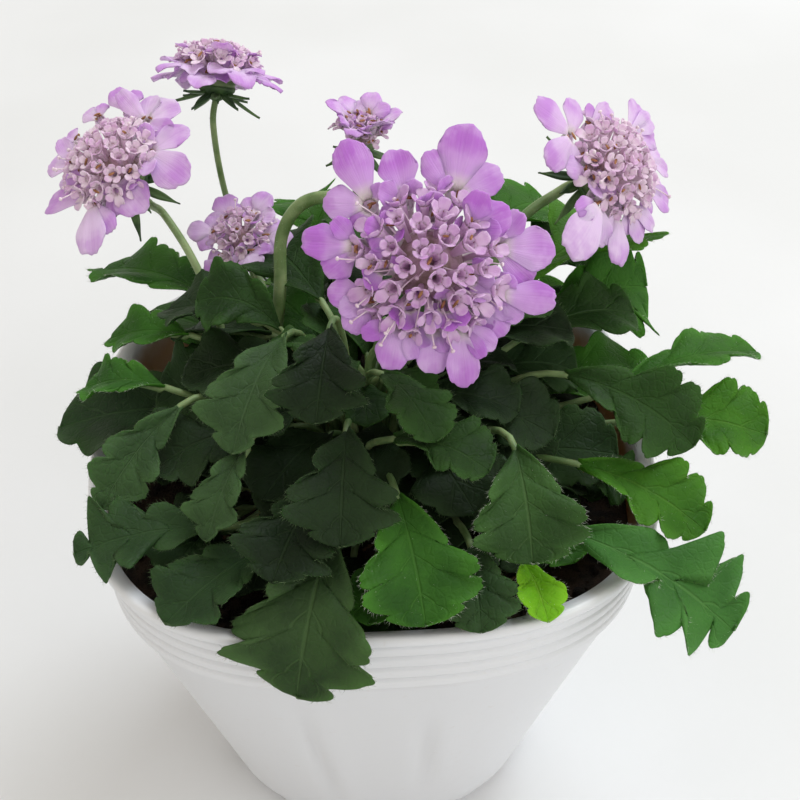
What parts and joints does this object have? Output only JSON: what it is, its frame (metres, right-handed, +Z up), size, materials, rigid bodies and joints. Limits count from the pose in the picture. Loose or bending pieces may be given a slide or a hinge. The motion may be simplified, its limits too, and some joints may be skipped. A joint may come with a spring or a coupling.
{
  "type": "potted flowering plant",
  "caption": "Small scabious plant in a soft white nursery pot, with lilac pincushion flower heads on thin stems over a low mound of scalloped leaves.",
  "frame": {"origin": "middle of the pot's underside, on the surface it stands on", "axes": "+Z up, -Y to the side the largest flower head faces, +X to the viewer's right from that side"},
  "size_m": [0.1349, 0.1252, 0.1456],
  "materials": {
    "pot": "thin soft translucent white plastic, slightly glossy",
    "soil": "dark crumbly potting soil",
    "stem": "green stem with short fine hairs",
    "leaf": "matte dark green leaf, finely hairy at its edge",
    "petal": "soft matte lilac petals"
  },
  "bodies": {
    "root": {"bloom_1": "petal", "bloom_2": "petal", "bloom_3": "petal", "bloom_4": "petal", "bloom_5": "petal", "bloom_6": "petal", "leaf_back_left": "leaf", "leaf_back_middle": "leaf", "leaf_back_right": "leaf", "leaf_crown_1": "leaf", "leaf_crown_2": "leaf", "leaf_dark_front": "leaf", "leaf_dark_left": "leaf", "leaf_deep_back": "leaf", "leaf_deep_left": "leaf", "leaf_feather_right": "leaf", "leaf_folded_left": "leaf", "leaf_front": "leaf", "leaf_front_right": "leaf", "leaf_grey": "leaf", "leaf_left": "leaf", "leaf_left_back": "leaf", "leaf_middle_1": "leaf", "leaf_middle_2": "leaf", "leaf_middle_3": "leaf", "leaf_middle_4": "leaf", "leaf_middle_high": "leaf", "leaf_middle_low": "leaf", "leaf_middle_top": "leaf", "leaf_nape_1": "leaf", "leaf_nape_2": "leaf", "leaf_nape_3": "leaf", "leaf_nape_4": "leaf", "leaf_nape_5": "leaf", "leaf_narrow": "leaf", "leaf_over_rim": "leaf", "leaf_right_big": "leaf", "leaf_right_bright": "leaf", "leaf_right_far": "leaf", "leaf_right_folded": "leaf", "leaf_right_low": "leaf", "leaf_right_under": "leaf", "leaf_rim_dark": "leaf", "leaf_rim_front_left": "leaf", "leaf_rim_left": "leaf", "leaf_rim_young": "leaf", "leaf_skirt_1": "leaf", "leaf_skirt_2": "leaf", "leaf_skirt_3": "leaf", "leaf_skirt_4": "leaf", "leaf_skirt_5": "leaf", "leaf_skirt_6": "leaf", "pot": "pot", "soil": "soil", "stem_1": "stem", "stem_2": "stem", "stem_3": "stem", "stem_4": "stem", "stem_5": "stem", "stem_6": "stem"}
  },
  "joints": []
}
